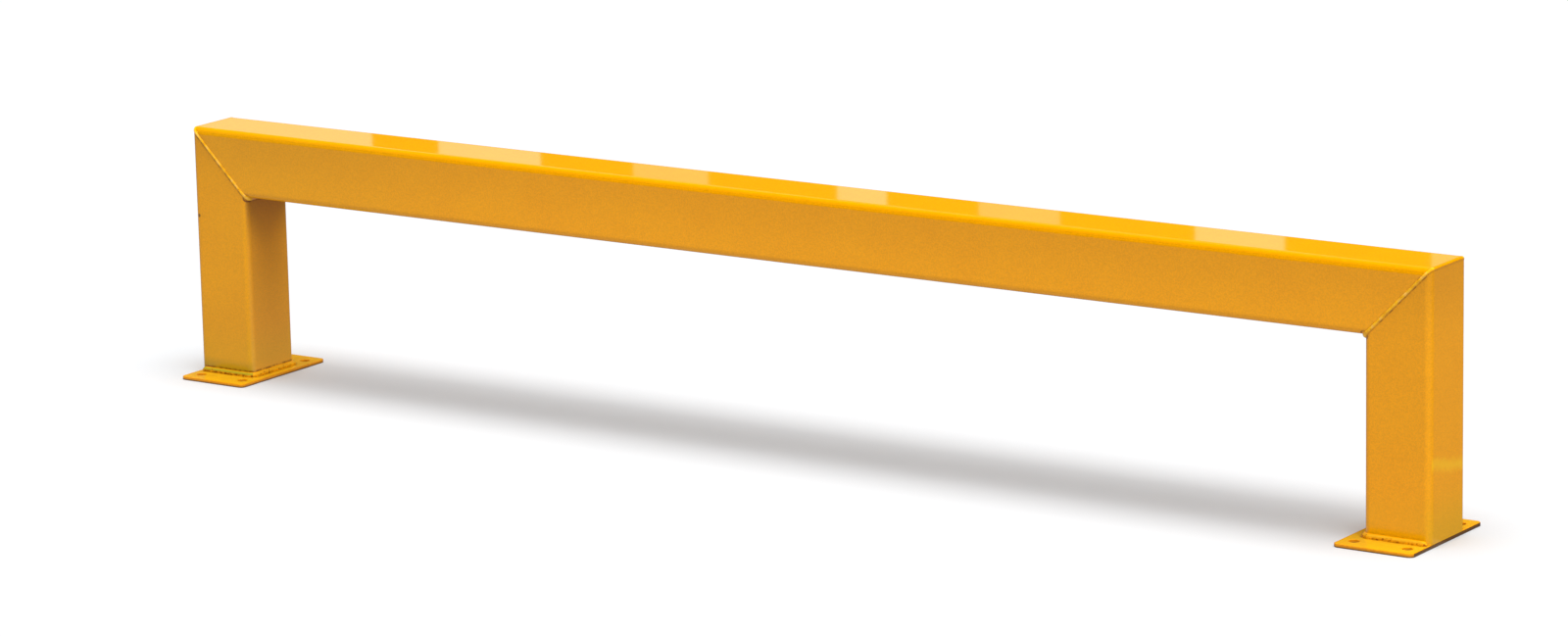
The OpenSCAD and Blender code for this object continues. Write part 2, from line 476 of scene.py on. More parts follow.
# %% Wear, and a painted reflection
# A bright painted reflection, a frayed smear across the right post's outer side.
SMEAR_REFLECTION_YELLOW = "#FFC414"
NICK_STEEL, NICK_SHARE = "#6B4A0E", 0.9
SMEAR_Z, SMEAR_HALF, SMEAR_SLANT, SMEAR_SHARE = 106 * MM, 13 * MM, 0.19, 0.65
CHIP_DROP = 9 * MM
NICK_EDGE = edge_r * (1 - math.sqrt(0.5)) - nick_r / 2
NICK_AT = (NICK_EDGE - half_l, NICK_EDGE - section_w / 2, nick_z)
CHIP_AT = (0.8 * edge_r - half_l, -section_w / 2, nick_z - CHIP_DROP)


def painted_reflection_smear(tree):
    """A bright, frayed painted reflection that slants across the right post's outer side."""
    xyz = coordinates(tree)
    level = xyz["Z"]
    for way, much in ((xyz["Y"], SMEAR_SLANT), (patches(tree, SMEAR_HALF), SMEAR_HALF)):
        level = add_node(
            tree, "ShaderNodeMath", {0: way, 1: much, 2: level}, operation="MULTIPLY_ADD").outputs[0]
    band = line_mask(tree, level, SMEAR_Z + SMEAR_HALF / 2, SMEAR_HALF)
    side = half_l - 1 * MM
    outside = add_node(tree, "ShaderNodeMath", {0: xyz["X"], 1: side}, operation="GREATER_THAN").outputs[0]
    return product(tree, band, outside, SMEAR_SHARE)


def nick_mark(tree):
    """Dulled steel in the left post's knock, and in the chip of film lost in front and below."""
    away = [distance_to(tree, place_on_piece(tree), centre) for centre in (NICK_AT, CHIP_AT)]
    return either(tree, *[fade(tree, way, 1.3 * nick_r, 2 * nick_r, NICK_SHARE, 0.0) for way in away])


# %% Painted light and shade on the tubes
# A yellower tint painted on the rail's flat top, as painted light.
TOP_LIGHT_TINT, TOP_LIGHT_SHARE = "#EDB800", 0.2
# Painted shade on rounded edges: the rail's top edges, and the ground corner welds.
EDGE_SHADE = 0.84
# Painted shade high on the rail and painted light low on it.
FRONT_SHADE_HIGH, FRONT_SHADE_LOW = 0.945, 1.045
# Painted shade towards the top of each post.
POST_SHADE, POST_SHADE_END = 0.86, 110 * MM
# Painted shade on a post's inner side close under the rail.
CORNER_SHADE, CORNER_SHADE_END = 0.6, 190 * MM


def edge_shade(tree):
    """Painted shade on the rail's rounded top edges."""
    deep = add_node(tree, "ShaderNodeSeparateXYZ", {0: folded(tree)}).outputs["Y"]
    off_top = fade(tree, deep, flat, flat + 0.3 * edge_r, 1.0, EDGE_SHADE)
    off_front = fade(tree, depths(tree)[1], 0.4 * edge_r, 0.8 * edge_r)
    return either(tree, off_top, off_front)


def corner_shade(tree):
    """Painted shade on a post's inner side close under the rail, where the rail shades it."""
    close = fade(tree, depths(tree)[1], section_w, CORNER_SHADE_END, 1.0, 0.0)
    return fade(tree, on_inner_side(tree, close), 0.0, 1.0, 1.0, CORNER_SHADE, curve="LINEAR")


# %% Tube coats
POST_ROUGHNESS = 0.16


def make_rail_coat():
    material, tree = new_material("powder_coat_rail")
    from_top = depths(tree)[1]
    # painted light: the flat top is tinted a little yellower
    top_light = fade(tree, from_top, 0.1 * edge_r, 0.5 * edge_r, TOP_LIGHT_SHARE, 0.0)
    # painted shade towards the rail's top and painted light towards its bottom
    down = fade(tree, from_top, edge_r, section_w - edge_r, FRONT_SHADE_HIGH, FRONT_SHADE_LOW)
    colour = stained(tree, clouded_yellow(tree), rail_haze(tree), DUST_OLIVE)
    colour = stained(tree, colour, top_light, TOP_LIGHT_TINT)
    # painted shade on the rounded top edges
    colour = scaled(tree, colour, edge_shade(tree))
    colour = scaled(tree, colour, down)
    # painted shade beside the mitre and round the inner corner
    return coated(material, with_seam_toes(tree, colour, TOE_ON_RAIL, TOE_WIDTH))


def make_post_coat():
    material, tree = new_material("powder_coat_post")
    up = coordinates(tree)["Z"]
    # painted shade low on each post, fading out higher up
    low = fade(tree, up, plate_t, LOW_SHADE_RISE, LOW_SHADE, 0.0)
    # painted sheen of the floor on the inner side, stronger low down
    floor_sheen = fade(tree, up, 0.0, SHEEN_RISE, SHEEN_LOW, SHEEN_HIGH)
    # painted shade in a line above the foot weld
    foot = line_mask(tree, up, FOOT_LINE_AT, FOOT_LINE_WIDTH)
    foot = product(tree, foot, off_outer_side(tree), on_left(tree, FOOT_LINE_RIGHT))
    colour = stained(tree, clouded_yellow(tree), low, LOW_SHADE_YELLOW)
    colour = stained(tree, colour, foot_haze(tree), DUST_OLIVE)
    # painted reflection across the right post's outer side
    colour = stained(tree, colour, painted_reflection_smear(tree), SMEAR_REFLECTION_YELLOW)
    colour = stained(tree, colour, on_inner_side(tree, floor_sheen), PAINTED_FLOOR_SHEEN)
    colour = stained(tree, colour, broken(tree, foot, FOOT_LINE_SHARE), SHADE_AND_PIT_BROWN)
    # painted shade towards the top of the post
    colour = scaled(tree, colour, fade(tree, depths(tree)[1], 0.0, POST_SHADE_END, POST_SHADE, 1.0))
    # painted shade on the inner side under the rail
    colour = scaled(tree, colour, corner_shade(tree))
    colour = stained(tree, colour, nick_mark(tree), NICK_STEEL)
    # painted shade beside the mitre and round the inner corner
    colour = with_seam_toes(tree, colour, TOE_ON_POST, POST_TOE_SPREAD * TOE_WIDTH)
    return coated(material, colour, roughness=POST_ROUGHNESS)


rail_coat = make_rail_coat()
post_coat = make_post_coat()
print("nodes in the post's coat:", len(post_coat.node_tree.nodes))

# %% [markdown]
# The tubes. Square hollow section is rolled with rounded edges, and each mitre is one straight
# cut through all four walls. So each tube is its outline, carried along straight lines that end
# where they meet the mitre: a line that lies d below the top starts d in from the end. A boolean
# would cut the same shape as the saw does, but loops of points give clean quads all round, and
# the inside of the tube with them. Near the outer corner the edge is bevelled to make room for
# the weld, so a line never starts nearer to the corner than the bevel does.

# %% Section outline
EDGE_STEPS = 10
HOLD = 0.5 * MM


def rounded_loop(low_x, high_x, reach_y, radius, steps, hold=0.0):
    """Points round four rounded corners, given where the arcs have their centres. A hold adds a
    point on the flat beside each arc, which keeps the smooth shading off the flats."""
    points = []
    for cx, cy, first in (
            (high_x, reach_y, 0), (low_x, reach_y, 90), (low_x, -reach_y, 180), (high_x, -reach_y, 270)):
        spots = [(first + 90 * i / steps, 0) for i in range(steps + 1)]
        if hold:
            spots = [(first, -hold)] + spots + [(first + 90, hold)]
        for turn, past in spots:
            c, s = math.cos(math.radians(turn)), math.sin(math.radians(turn))
            points.append((cx + radius * c - past * s, cy + radius * s + past * c))
    return points


# The tube's outline as pairs of depth from the outer side, and y. The wall has the same centres.
outer, inner = [
    rounded_loop(edge_r, section_w - edge_r, flat, radius, EDGE_STEPS, HOLD)
    for radius in (edge_r, edge_r - wall_t)]
print("outline points:", len(outer))


def mitre_start(depth):
    """How far in from the end a line starts that lies this deep, clear of the weld's bevel."""
    return max(depth, corner_fill - depth)


# %% Rail and posts
def make_rail():
    """Four loops of points: the outside from left to right, and the inside back again."""
    rows = []
    for side in (-1, 1):
        rows += [(side * (half_l - mitre_start(d)), y, height - d) for d, y in outer]
    for side in (1, -1):
        rows += [(side * (half_l - d), y, height - d) for d, y in inner]
    return outward(new_object("top_rail_tube", rows, skin_faces(4, len(outer), ring=True), rail_coat))


def make_post(name):
    """Four loops again: up the outside and down the inside."""
    rows = [(d - half_l, y, plate_t) for d, y in outer]
    rows += [(d - half_l, y, height - mitre_start(d)) for d, y in outer]
    rows += [(d - half_l, y, height - d) for d, y in inner]
    rows += [(d - half_l, y, plate_t) for d, y in inner]
    return outward(new_object(name, rows, skin_faces(4, len(outer), ring=True), post_coat))


rail_tube = make_rail()
left_tube = make_post("left_post_tube")
right_tube = mirrored(left_tube, "right_post_tube")
print("tubes:", triangles(rail_tube), triangles(left_tube), triangles(right_tube), "triangles")

# %% [markdown]
# The left post carries one small knock in its outer front edge, a dent through the coat. A small
# ball is cut out of the edge with a boolean, which leaves a true dimple in the mesh.

# %% Nick in the left post
def cut_nick(post):
    ball = bmesh.new()
    bmesh.ops.create_icosphere(ball, subdivisions=3, radius=nick_r)
    bmesh.ops.translate(ball, verts=ball.verts, vec=NICK_AT)
    tool_mesh = bpy.data.meshes.new("nick_tool")
    ball.to_mesh(tool_mesh)
    ball.free()
    tool = put_in_scene("nick_tool", tool_mesh)
    cut = post.modifiers.new("nick", "BOOLEAN")
    cut.object = tool
    cut.solver = "EXACT"
    keep_result(post)
    bpy.data.objects.remove(tool)
    bpy.data.meshes.remove(tool_mesh)


cut_nick(left_tube)
print("left post with its nick:", triangles(left_tube), "triangles")

for tube, cad_node in ((rail_tube, "top_rail"), (left_tube, "left_post"), (right_tube, "right_post")):
    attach(tube, "root")
    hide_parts(cad_node)

# %% [markdown]
# Finish: the plates. They have the same powder coat with a film of olive dust, as they lie flat,
# and the share of dust is set dark enough to be painted shade on them as well. A plate that is
# cut from flat bar keeps a rougher rim, and the film pulls back from its sharp corners, so the
# rim reads as a darker orange line. Its lower half is painted almost brown, as painted shade where
# the rim meets the floor. A second material gives the rim those colours by height. The outer
# side, flush with the post, is painted darkest, as painted shade. The top also has the brown toe
# line of painted shade, here where the distance to the post's rounded outline equals the leg of
# the foot weld.

# %% Plate coats
RIM_ORANGE = "#C77600"
# Brown painted shade on the rim's lower half and on the flush outer side.
RIM_SHADE_BROWN = "#3E2606"
RIM_PATCH = 5 * MM
RIM_LOW, RIM_FLUSH = 0.85, 0.9
# Olive dust, mixed in dark enough to be painted shade on the plates too.
PLATE_DUST_AND_SHADE, PLATE_DUST_AND_SHADE_SHARE = "#9BA832", 0.3
PLATE_TOE_AT = edge_r + foot_leg + 0.4 * MM
PLATE_TOE_WIDTH, PLATE_TOE_SHARE = 4 * MM, 0.55


def post_edge_distance(tree):
    """How far a point of a plate lies from where the posts' rounded edges have their centres."""
    past = add_node(
        tree, "ShaderNodeVectorMath",
        {0: folded(tree), 1: (-1, 1, 0), 2: (half_l - section_w + edge_r, -flat, 0)},
        operation="MULTIPLY_ADD").outputs[0]
    beyond = add_node(
        tree, "ShaderNodeVectorMath", {0: past, 1: (0, 0, 0)}, operation="MAXIMUM").outputs[0]
    return add_node(tree, "ShaderNodeVectorMath", {0: beyond}, operation="LENGTH").outputs["Value"]


def make_plate_coat():
    material, tree = new_material("powder_coat_plate")
    # painted shade in a line along the foot weld's toe
    toe = line_mask(tree, post_edge_distance(tree), PLATE_TOE_AT, PLATE_TOE_WIDTH)
    toe = broken(tree, product(tree, toe, off_outer_side(tree)), PLATE_TOE_SHARE)
    # olive dust that is also painted shade
    dusty = stained(tree, clouded_yellow(tree), PLATE_DUST_AND_SHADE_SHARE, PLATE_DUST_AND_SHADE)
    return coated(material, stained(tree, dusty, toe, SHADE_AND_PIT_BROWN), roughness=0.1)


def make_rim_coat():
    material, tree = new_material("powder_coat_rim")
    film = stained(tree, linear(RIM_ORANGE), patches(tree, RIM_PATCH, 3.0), THICK_FILM)
    # painted shade on the lower half of the rim and on the flush outer side
    low = fade(tree, coordinates(tree)["Z"], 0.15 * plate_t, 0.5 * plate_t, RIM_LOW, 0.0)
    flush = fade(tree, depths(tree)[0], 0.1 * MM, 0.6 * MM, RIM_FLUSH, 0.0)
    colour = stained(tree, film, either(tree, low, flush), RIM_SHADE_BROWN)
    return coated(material, colour, peel=0.5, roughness=0.2)


plate_coat = make_plate_coat()
rim_coat = make_rim_coat()
print("plate coats:", plate_coat.name, rim_coat.name)

# %% [markdown]
# The base plates. Each is flat bar with rounded corners and four drilled holes. The outline and
# the holes are loops of points, so a softened edge is the same loop drawn again, a little smaller
# and lower. Faces between the loops make the rim and the bores, and the flat top and bottom are
# filled between the outline and the holes. Hole places and size come from the record's bolt
# pattern, so bolts that fit the frame fit the picture too.

# %% Plate loops
SOFT_EDGE = 0.7 * MM
SOFT_STEPS = 3
HOLE_STEPS = 40
CORNER_STEPS = 8


def plate_loop(inset):
    """The plate's outline, drawn in by inset."""
    r = plate_corner_r
    return rounded_loop(plate_lo.x + r, plate_hi.x - r, plate_hi.y - r, r - inset, CORNER_STEPS)


def hole_loop(centre, radius):
    return [(centre[0] + radius * math.cos(math.tau * i / HOLE_STEPS),
             centre[1] + radius * math.sin(math.tau * i / HOLE_STEPS)) for i in range(HOLE_STEPS)]


def soft_profile():
    """(inset, z) pairs up the plate's rim, rounded at the top and the bottom, and held flat."""
    low, high = [(SOFT_EDGE + HOLD, 0)], [(SOFT_EDGE + HOLD, plate_t)]
    for i in range(SOFT_STEPS + 1):
        a = math.radians(90 * i / SOFT_STEPS)
        inset = SOFT_EDGE * (1 - math.sin(a))
        rise = SOFT_EDGE * (1 - math.cos(a))
        low.append((inset, rise))
        high.append((inset, plate_t - rise))
    return low + high[::-1]


pattern = next(m for m in frame["record"]["mounts"] if m["name"] == "left_anchor_holes")
dims, centre = pattern["dims"], pattern["pos_m"]
hole_r = dims["hole_r_mm"] * MM
hole_places = [
    (centre[0] + sx * dims["spacing_x_mm"] * MM / 2, centre[1] + sy * dims["spacing_y_mm"] * MM / 2)
    for sx in (-1, 1) for sy in (-1, 1)]
print("holes of %.1f mm at" % (2 * hole_r / MM), [(round(x, 3), round(y, 3)) for x, y in hole_places])


# %% Plates
RIM_SLOT = 1


def make_plate(name):
    """Faces up the rim and each bore, with the flat bottom and top filled between them."""
    mesh = bmesh.new()
    bottom, top = [], []
    holes = [lambda inset, c=c: hole_loop(c, hole_r + inset) for c in hole_places]
    for shape in [plate_loop] + holes:
        rows = [[mesh.verts.new((x, y, z)) for x, y in shape(inset)] for inset, z in soft_profile()]
        for low, high in zip(rows, rows[1:]):
            for j in range(len(low)):
                k = (j + 1) % len(low)
                mesh.faces.new((low[j], low[k], high[k], high[j])).material_index = RIM_SLOT
        bottom.append(rows[0])
        top.append(rows[-1])
    for loops in (bottom, top):
        pairs = [pair for loop in loops for pair in zip(loop, loop[1:] + loop[:1])]
        edges = [mesh.edges.get(pair) for pair in pairs]
        bmesh.ops.triangle_fill(mesh, edges=edges, use_beauty=True)
    bmesh.ops.recalc_face_normals(mesh, faces=mesh.faces)
    data = bpy.data.meshes.new(name)
    mesh.to_mesh(data)
    mesh.free()
    data.materials.append(plate_coat)
    data.materials.append(rim_coat)
    data.shade_smooth()
    data.set_sharp_from_angle(angle=math.radians(40))
    return put_in_scene(name, data)


left_plate = make_plate("left_plate_drilled")
right_plate = mirrored(left_plate, "right_plate_drilled")
for plate, cad_node in ((left_plate, "left_base_plate"), (right_plate, "right_base_plate")):
    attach(plate, "root")
    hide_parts(cad_node)
print("plates:", triangles(left_plate), "triangles each")

# %% [markdown]
# Finish: coated weld. The coat flows over the beads as it does over the tubes, so a bead is the
# same yellow, with a colour of its own on the crown: a painted highlight on the clean mitre
# beads, where the light catches them. Painted shade darkens its two toes, and where spatter stood
# the film is orange, with a dark pit here and there. The bead's own attribute "across" runs from
# -1 at the lower toe to 1 at the other, so the painted shade follows the toes wherever the bead
# goes. On the mitres the film goes from dull orange to painted pale glints every few millimetres.
# The left post's front weld has an olive cast, from the dust on it. The weld in each outer corner
# is ground smooth, and takes an even coat, with the same painted shade as the rail's rounded edges.

# %% Weld coats
# Crown colour of the clean mitre beads, a painted highlight.
CROWN_HIGHLIGHT = "#FFBE1C"
DULL_FILM = "#E1A31C"
OLIVE_FILM = "#AB9823"
STAIN_ORANGE = "#C46A00"
# Pale painted glints on a bead's crown.
PAINTED_GLINT = "#FFC671"
NUB_FILM = "#EDA04C"
GLINT_SIZE = 9 * MM
DULL_SHARE = 0.35
PIT_SIZE = 4 * MM
STAIN_FROM, STAIN_SHARE = 0.66, 0.7
PIT_FROM, PIT_SHARE = 0.74, 0.9
SPOT_EDGE = 0.08
SPOTS_LOWER = 0.1
# Painted shade at a bead's upper toe.
HIGH_TOE = 0.75


def weld_coat(name, film, low_toe, pits=0.0, glints=0.0):
    """Coat over weld metal, with the film colour mixed in on the crown. The low toe is how dark the
    painted shade on its lower side is, or on its post's side on a mitre. Pits lower the noise level
    at which a spot starts. Glints are the share of painted pale glints on the crown, with duller
    film between."""
    material, tree = new_material(name)
    across = add_node(tree, "ShaderNodeAttribute", attribute_name="across").outputs["Fac"]
    side = add_node(tree, "ShaderNodeMath", {0: across}, operation="ABSOLUTE").outputs[0]
    crown = fade(tree, side, 0.2, 0.75, 1.0, 0.0)
    colour = stained(tree, clouded_yellow(tree), crown, film)
    if glints:
        waves = patches(tree, GLINT_SIZE)
        glint = product(tree, fade(tree, waves, 0.52, 0.62, 0.0, glints), crown)
        colour = stained(tree, colour, fade(tree, waves, 0.36, 0.5, DULL_SHARE, 0.0), STAIN_ORANGE)
        colour = stained(tree, colour, glint, PAINTED_GLINT)
    spots = add_node(
        tree, "ShaderNodeMath", {0: across, 1: -SPOTS_LOWER, 2: patches(tree, PIT_SIZE)},
        operation="MULTIPLY_ADD").outputs[0]
    for start, share, stain in (
            (STAIN_FROM - pits, STAIN_SHARE, STAIN_ORANGE), (PIT_FROM - pits, PIT_SHARE, SHADE_AND_PIT_BROWN)):
        colour = stained(tree, colour, fade(tree, spots, start, start + SPOT_EDGE, 0.0, share), stain)
    # painted shade at the upper toe
    colour = stained(tree, colour, fade(tree, across, 0.7, 1.0, 0.0, HIGH_TOE), SHADE_AND_PIT_BROWN)
    # painted shade at the lower toe
    low = broken(tree, fade(tree, across, -0.6, -0.15, 1.0, 0.0), low_toe)
    return coated(material, stained(tree, colour, low, SHADE_AND_PIT_BROWN), peel=0.3, roughness=0.12)


# The clean mitre beads carry a painted highlight and painted glints on the crown.
clean_weld = weld_coat("powder_coat_weld_clean", CROWN_HIGHLIGHT, low_toe=0.3, glints=0.45)
olive_weld = weld_coat("powder_coat_weld_dusty", OLIVE_FILM, low_toe=0.85)
pitted_weld = weld_coat("powder_coat_weld_pitted", DULL_FILM, low_toe=0.35, pits=0.06)
nub_weld = weld_coat("powder_coat_weld_nub", NUB_FILM, low_toe=0.35, glints=0.5)
# The ground corner weld is darkened by the same painted shade as the rail's rounded edges.
material, tree = new_material("powder_coat_weld_dressed")
dressed_weld = coated(material, scaled(tree, clouded_yellow(tree), EDGE_SHADE))
print("weld coats:", clean_weld.name, olive_weld.name, pitted_weld.name, nub_weld.name)

# %% [markdown]
# The mitre beads. The welder runs one bead along the seam, over the rounded edges of the tube,
# and fills the bevel of the outer corner. A half circle carried along the seam gives that form:
# it lies a little below the faces on the flats, and it grows into a filled corner at the top and
# a fillet inside. The turn is 0 where the seam faces the outer corner, 90 on the front face and
# 180 in the inner corner.

# %% Seam sections
ACROSS_STEPS = 16
bead_r = (seam_bead_w ** 2 / 4 + seam_bead_h ** 2) / (2 * seam_bead_h)
bead_depth = bead_r - seam_bead_h
to_rail = np.array([1, 0, 1]) / math.sqrt(2)
to_inner = np.array([1, 0, -1]) / math.sqrt(2)


def seam_section(edge_d, edge_y, turn):
    """Half circle of points over the seam, from the post's side to the rail's, and its root."""
    c, s = math.cos(math.radians(turn)), math.sin(math.radians(turn))
    out = -c / math.sqrt(2) * to_inner - s * np.array([0, 1, 0])
    out /= np.linalg.norm(out)
    d = edge_d - edge_r * c
    point = np.array([d - half_l, edge_y - edge_r * s, height - d])
    outer_share = c * c if turn < 90 else 0
    inner_share = c * c if turn > 90 else 0
    radius = bead_r + (corner_fill - bead_r) * outer_share + (inner_leg - bead_r) * inner_share
    depth = bead_depth * (1 - inner_share)
    depth += (corner_fill * math.sqrt(2) - corner_proud - bead_depth) * outer_share
    angles = np.linspace(0, math.pi, ACROSS_STEPS + 1)[:, None]
    return point - depth * out + radius * (np.sin(angles) * out - np.cos(angles) * to_rail), point


def middle(place):
    """How far a place is along the middle one of three stretches: 0 before it and 1 past it."""
    return min(max(place - 1, 0), 1)


def seam_row(place):
    """0 to 1 goes round the outer edge, 1 to 2 along the front and 2 to 3 round the inner edge."""
    turn = 90 * (min(place, 1) + max(place - 2, 0))
    return seam_section(edge_r + 2 * flat * middle(place), -flat, turn)


print("bead radius %.2f mm, sunk %.2f mm" % (bead_r / MM, bead_depth / MM))

# %% [markdown]
# Ripples. Each time the welder moves on, the pool freezes in a crescent, so a bead is a row of
# overlapping scales with slow swellings along it. That repeats and follows a path, so Geometry
# Nodes make it: the tree reads how far along the bead a point is and how far across, and lifts
# the surface by a scale pattern and a noise. The sizes are inputs, so each bead can be neat or
# lumpy with the same tree, and the seed keeps it the same on each run.

# %% Ripple tree
RIPPLE_LAG = 1.2 * MM


def ripple_tree():
    """Each scale is a parabola between two ripples, whose middle runs ahead of the sides by the
    lag. All dies out towards both toes."""
    tree = bpy.data.node_groups.new("weld_ripples", "GeometryNodeTree")
    face = tree.interface
    face.new_socket("Geometry", in_out="INPUT", socket_type="NodeSocketGeometry")
    for name in ("Ripple spacing", "Ripple height", "Lump size", "Lump height", "Seed"):
        face.new_socket(name, in_out="INPUT", socket_type="NodeSocketFloat")
    face.new_socket("Coat", in_out="INPUT", socket_type="NodeSocketMaterial")
    face.new_socket("Geometry", in_out="OUTPUT", socket_type="NodeSocketGeometry")
    given = add_node(tree, "NodeGroupInput").outputs
    along, across = [
        add_node(tree, "GeometryNodeInputNamedAttribute", {"Name": name}, data_type="FLOAT").outputs[0]
        for name in ("along", "across")]
    square = product(tree, across, across)
    run = add_node(
        tree, "ShaderNodeMath", {0: square, 1: RIPPLE_LAG, 2: along}, operation="MULTIPLY_ADD").outputs[0]
    count = add_node(
        tree, "ShaderNodeMath", {0: run, 1: given["Ripple spacing"]}, operation="DIVIDE").outputs[0]
    phase = add_node(tree, "ShaderNodeMath", {0: count}, operation="FRACT").outputs[0]
    off = add_node(tree, "ShaderNodeMath", {0: phase, 1: 0.5}, operation="SUBTRACT").outputs[0]
    scale = add_node(
        tree, "ShaderNodeMath", {0: product(tree, off, off), 1: -4.0, 2: 1.0},
        operation="MULTIPLY_ADD").outputs[0]
    place = add_node(tree, "GeometryNodeInputPosition").outputs[0]
    pitch = add_node(tree, "ShaderNodeMath", {0: 1.0, 1: given["Lump size"]}, operation="DIVIDE").outputs[0]
    noise = add_node(
        tree, "ShaderNodeTexNoise",
        {"Vector": place, "W": given["Seed"], "Scale": pitch, "Detail": 2.0},
        noise_dimensions="4D").outputs["Fac"]
    centred = add_node(tree, "ShaderNodeMath", {0: noise, 1: 0.5}, operation="SUBTRACT").outputs[0]
    lump = product(tree, centred, given["Lump height"])
    lift = add_node(
        tree, "ShaderNodeMath", {0: scale, 1: given["Ripple height"], 2: lump},
        operation="MULTIPLY_ADD").outputs[0]
    crown = add_node(tree, "ShaderNodeMath", {0: 1.0, 1: square}, operation="SUBTRACT").outputs[0]
    normal = add_node(tree, "GeometryNodeInputNormal").outputs[0]
    offset = scaled(tree, normal, product(tree, lift, crown))
    moved = add_node(
        tree, "GeometryNodeSetPosition", {"Geometry": given["Geometry"], "Offset": offset}).outputs[0]
    real = add_node(tree, "GeometryNodeRealizeInstances", {"Geometry": moved}).outputs[0]
    painted = add_node(
        tree, "GeometryNodeSetMaterial", {"Geometry": real, "Material": given["Coat"]}).outputs[0]
    add_node(tree, "NodeGroupOutput", {"Geometry": painted})
    return tree


RIPPLES = ripple_tree()


def rippled(
        bead, coat, spacing=1.8 * MM, height=0.18 * MM, lump_size=7 * MM, lump=0.5 * MM, seed=1.0):
    """Runs the ripple tree over a bead and keeps the result as a plain mesh."""
    modifier = bead.modifiers.new("ripples", "NODES")
    modifier.node_group = RIPPLES
    values = {"Ripple spacing": spacing, "Ripple height": height, "Lump size": lump_size,
              "Lump height": lump, "Seed": seed, "Coat": coat}
    for item in RIPPLES.interface.items_tree:
        if item.in_out == "INPUT" and item.name in values:
            modifier[item.identifier] = values[item.name]
    return keep_result(bead)


print("nodes in the ripple tree:", len(RIPPLES.nodes))

# %% Beads from rows of sections
ROW_SPACING = 0.35 * MM
PATH_TRIES = 400


def make_bead(name, row_at, stretches, coat, **ripple_sizes):
    """A bead whose rows are spread evenly along its path, with its ripples."""
    tries = np.linspace(0, stretches, PATH_TRIES)
    path = np.array([row_at(t)[1] for t in tries])
    run = np.concatenate([[0], np.cumsum(np.linalg.norm(np.diff(path, axis=0), axis=1))])
    rows = max(3, int(run[-1] / ROW_SPACING))
    even = np.linspace(0, run[-1], rows)
    sections = [row_at(t)[0] for t in np.interp(even, run, tries)]
    around = len(sections[0])
    skin = new_object(name, np.concatenate(sections), skin_faces(rows, around), coat, sharp_deg=50)
    bead = outward(skin)
    along = bead.data.attributes.new("along", "FLOAT", "POINT")
    across = bead.data.attributes.new("across", "FLOAT", "POINT")
    along.data.foreach_set("value", np.repeat(even, around).astype(np.float32))
    across.data.foreach_set("value", np.tile(np.linspace(-1, 1, around), rows).astype(np.float32))
    return rippled(bead, coat, **ripple_sizes)


def place_beads(side, seam, **beads):
    """Puts the beads of a seam on the frame, turned over first for the right-hand side, and
    dressed back to the frame's own box, as a grinder would."""
    for part, bead in beads.items():
        if side == "right":
            twin = mirrored(bead, bead.name)
            bpy.data.objects.remove(bead)
            bead = twin
        bead.name = "%s_%s_bead_%s" % (side, seam, part)
        for v in bead.data.vertices:
            for axis in range(3):
                v.co[axis] = min(max(v.co[axis], cad_box[0][axis]), cad_box[1][axis])
        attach(bead, "root")
        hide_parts("%s_%s_weld_%s" % (side, seam, part))
        print(bead.name, "has", triangles(bead), "triangles")


# %% Mitre beads
for side, seed in (("left", 1.0), ("right", 2.0)):
    front = make_bead("bead_mitre_front", seam_row, 3, clean_weld, lump=1.0 * MM, seed=seed)
    crown = make_bead(
        "bead_mitre_outer", lambda place: seam_section(edge_r, flat * (1 - 2 * place), 0), 1,
        dressed_weld, height=0.03 * MM, lump=0.25 * MM, seed=seed)
    nub = make_bead(
        "bead_mitre_inner", lambda place: seam_section(section_w - edge_r, flat * (2 * place - 1), 180), 1,
        nub_weld, lump=1.2 * MM, seed=seed)
    back = mirrored(front, "bead_mitre_back", axis=1)
    place_beads(side, "mitre", front=front, outer=crown, inner=nub, back=back)

# %% [markdown]
# The foot beads. A fillet runs along the front, the inner side and the back of each post where
# it stands on its plate. The outer side has none, because there the plate ends flush with the
# post. The section is a quarter circle in the corner between post and plate. It starts as a dome
# on the outer edge, follows the front, and turns with the post's rounded inner edge.

# %% Foot sections
FOOT_SINK = 0.2 * MM


def foot_section(edge_d, edge_y, turn, leg):
    """Quarter circle of points, from the plate up to the post, and its root point."""
    a = math.radians(turn)
    out = np.array([-math.cos(a), -math.sin(a), 0])
    root = np.array([edge_d - half_l, edge_y, plate_t]) + edge_r * out
    up = np.array([0, 0, 1])
    sunk = root - FOOT_SINK * (out + up)
    angles = np.linspace(0, math.pi / 2, ACROSS_STEPS)[:, None]
    arc = root + leg * (np.cos(angles) * out + np.sin(angles) * up)
    arc[0] -= FOOT_SINK * up
    arc[-1] -= FOOT_SINK * out
    return np.concatenate([arc, [sunk]]), root


DOME = math.degrees(foot_leg / edge_r)
DOME_TIP = 0.002


def front_foot_row(place):
    """0 to 1 is the dome on the outer edge, 1 to 2 the front, 2 to 3 half the inner edge."""
    share = max(1 - place, 0)
    leg = foot_leg * math.sqrt(max(1 - share ** 2, DOME_TIP))
    turn = 90 - share * DOME + 45 * max(place - 2, 0)
    return foot_section(edge_r + 2 * flat * middle(place), -flat, turn, leg)


def inner_foot_row(place):
    """0 to 1 is half the front edge's round, 1 to 2 the inner side, 2 to 3 half the back edge's."""
    turn = 135 + 45 * (min(place, 1) + max(place - 2, 0))
    return foot_section(section_w - edge_r, flat * (2 * middle(place) - 1), turn, foot_leg)


# %% Foot beads
FOOT_RIPPLES = 2.4 * MM

